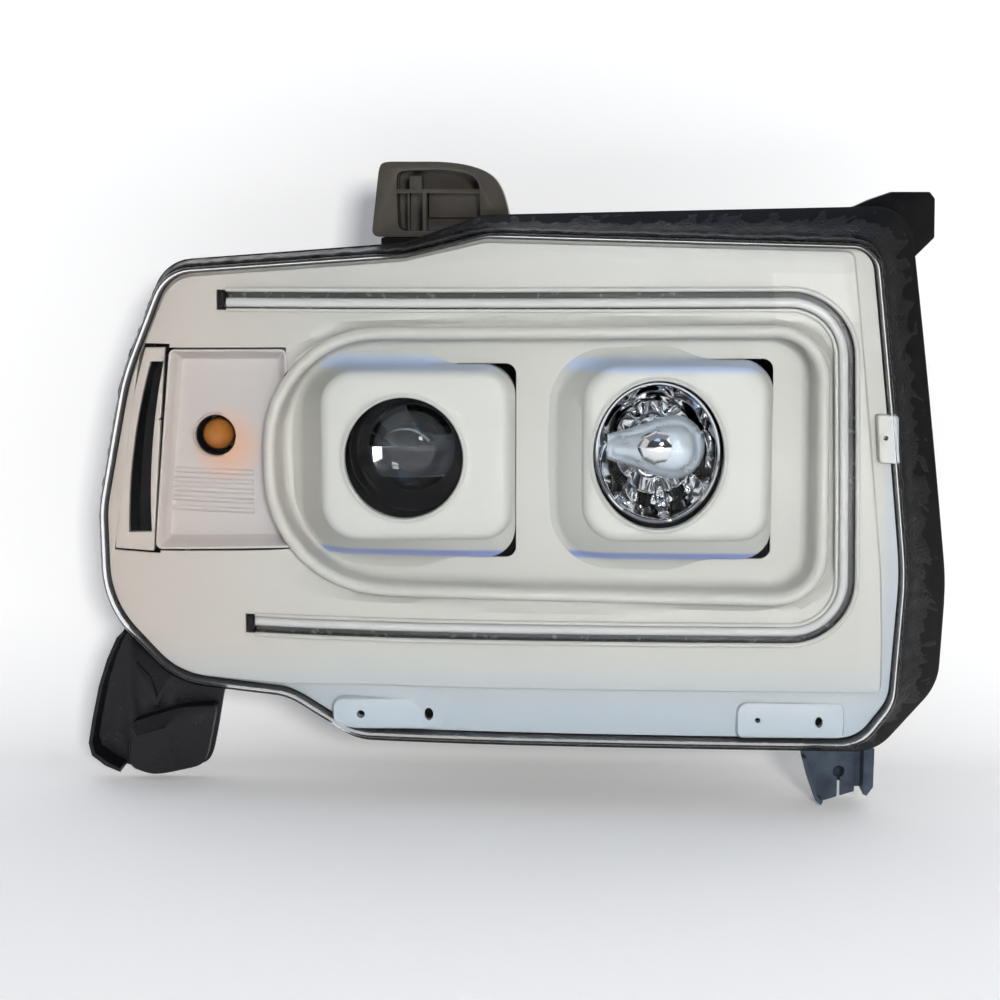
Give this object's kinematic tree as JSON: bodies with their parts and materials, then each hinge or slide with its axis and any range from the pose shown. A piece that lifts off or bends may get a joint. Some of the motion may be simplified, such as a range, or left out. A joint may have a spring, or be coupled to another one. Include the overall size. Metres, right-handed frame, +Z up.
{
  "type": "car headlight",
  "caption": "Sealed headlight with projector low beam, reflector high beam, C-shaped light bar, turn signal, side marker, mounting tabs and twist-off rear caps.",
  "frame": {"origin": "rear face of the upper inboard mounting ear, at the middle of its blank plate", "axes": "+X inboard (rightwards seen from the front), +Y rearward into the vehicle, +Z up; the lamp shines along -Y"},
  "size_m": [0.5816, 0.2316, 0.4302],
  "materials": {
    "housing_plastic": "moulded, fine grain",
    "smoked_plastic": "satin",
    "bracket_steel": "satin blue-grey coating",
    "silver_trim": "bright satin metallised",
    "bright_chrome": "mirror",
    "clear_lens": "clear polycarbonate",
    "clear_guide": "clear acrylic",
    "optical_glass": "polished",
    "amber_glass": "polished",
    "amber_plastic": "prismatic",
    "black_trim": "gloss",
    "seal_rubber": "matt",
    "zinc_steel": "zinc plated",
    "circuit_board": "solder mask",
    "cast_aluminium": "as cast",
    "nylon": "natural"
  },
  "bodies": {
    "lamp": {"housing": "housing_plastic", "outer_lens": "clear_lens", "lens_seal": "seal_rubber", "bezel": "silver_trim", "recess_panel": "silver_trim", "low_beam_pod": "silver_trim", "high_beam_pod": "silver_trim", "light_bar_channel": "bright_chrome", "light_bar_guide": "clear_guide", "light_bar_board_upper": "circuit_board", "light_bar_board_lower": "circuit_board", "turn_reflector": "silver_trim", "side_marker_frame": "silver_trim", "side_marker_well": "black_trim", "side_reflex": "amber_plastic", "upper_tower_bracket": "smoked_plastic", "lower_outboard_bracket": "housing_plastic", "lower_inboard_bracket": "bracket_steel", "upper_tower_screw": "zinc_steel", "lower_outboard_screw": "zinc_steel", "lower_inboard_screw": "zinc_steel", "pivot_stud_outboard": "zinc_steel", "pivot_stud_inboard": "zinc_steel", "light_bar_driver": "cast_aluminium", "harness_connector": "housing_plastic", "breather_outboard": "seal_rubber", "breather_inboard": "seal_rubber"},
    "aim_carriage": {"aim_carrier": "housing_plastic", "adjuster_nut": "nylon", "projector_lens": "optical_glass", "projector_shroud": "black_trim", "projector_barrel": "cast_aluminium", "cutoff_shield": "black_trim", "projector_bowl": "bright_chrome", "high_beam_reflector": "bright_chrome", "high_beam_bulb_shield": "bright_chrome"},
    "adjuster": {"adjuster_screw": "zinc_steel"},
    "low_bulb": {"low_beam_bulb_base": "housing_plastic", "low_beam_bulb_glass": "optical_glass"},
    "high_bulb": {"high_beam_bulb_base": "housing_plastic", "high_beam_bulb_glass": "optical_glass"},
    "turn_seal_ring": {"turn_socket_seal": "seal_rubber"},
    "turn_holder": {"turn_socket": "nylon", "turn_bulb": "amber_glass"},
    "side_seal_ring": {"side_marker_socket_seal": "seal_rubber"},
    "side_holder": {"side_marker_socket": "nylon", "side_marker_bulb": "amber_glass"},
    "low_cap_ring": {"low_beam_cap_seal": "seal_rubber"},
    "low_cap": {"low_beam_cap": "housing_plastic"},
    "high_cap_ring": {"high_beam_cap_seal": "seal_rubber"},
    "high_cap": {"high_beam_cap": "housing_plastic"}
  },
  "joints": [
    {"name": "aim_tilt", "type": "hinge", "parent": "lamp", "child": "aim_carriage", "pos_m": [-0.244, 0.0205, -0.058], "axis": [1, 0, 0], "range_deg": [-2.5, 2.5]},
    {"name": "adjuster_turn", "type": "hinge", "parent": "lamp", "child": "adjuster", "pos_m": [-0.244, 0.0665, -0.294], "axis": [0, 1, 0], "range_deg": [-1482, 1482]},
    {"name": "low_bulb_twist", "type": "hinge", "parent": "aim_carriage", "child": "low_bulb", "pos_m": [-0.3255, 0.0925, -0.15], "axis": [0, 1, 0], "range_deg": [0, 40]},
    {"name": "high_bulb_twist", "type": "hinge", "parent": "aim_carriage", "child": "high_bulb", "pos_m": [-0.1646, 0.0345, -0.1505], "axis": [0, 1, 0], "range_deg": [0, 40]},
    {"name": "turn_socket_pull", "type": "slide", "parent": "lamp", "child": "turn_seal_ring", "axis": [0, 1, 0], "range_m": [0, 0.07]},
    {"name": "turn_socket_twist", "type": "hinge", "parent": "turn_seal_ring", "child": "turn_holder", "pos_m": [-0.457, 0.0665, -0.1436], "axis": [0, 1, 0], "range_deg": [0, 45]},
    {"name": "side_marker_socket_pull", "type": "slide", "parent": "lamp", "child": "side_seal_ring", "axis": [0, 1, 0], "range_m": [0, 0.035]},
    {"name": "side_marker_socket_twist", "type": "hinge", "parent": "side_seal_ring", "child": "side_holder", "pos_m": [-0.4975, 0.0665, -0.23], "axis": [0, 1, 0], "range_deg": [0, 45]},
    {"name": "low_beam_cap_pull", "type": "slide", "parent": "lamp", "child": "low_cap_ring", "axis": [0, 1, 0], "range_m": [0, 0.05]},
    {"name": "low_beam_cap_twist", "type": "hinge", "parent": "low_cap_ring", "child": "low_cap", "pos_m": [-0.3255, 0.1285, -0.15], "axis": [0, 1, 0], "range_deg": [0, 45]},
    {"name": "high_beam_cap_pull", "type": "slide", "parent": "lamp", "child": "high_cap_ring", "axis": [0, 1, 0], "range_m": [0, 0.05]},
    {"name": "high_beam_cap_twist", "type": "hinge", "parent": "high_cap_ring", "child": "high_cap", "pos_m": [-0.1646, 0.1285, -0.1505], "axis": [0, 1, 0], "range_deg": [0, 45]}
  ],
  "couplings": [
    {"joint": "aim_tilt", "follows": "adjuster_turn", "ratio": -0.001686}
  ]
}
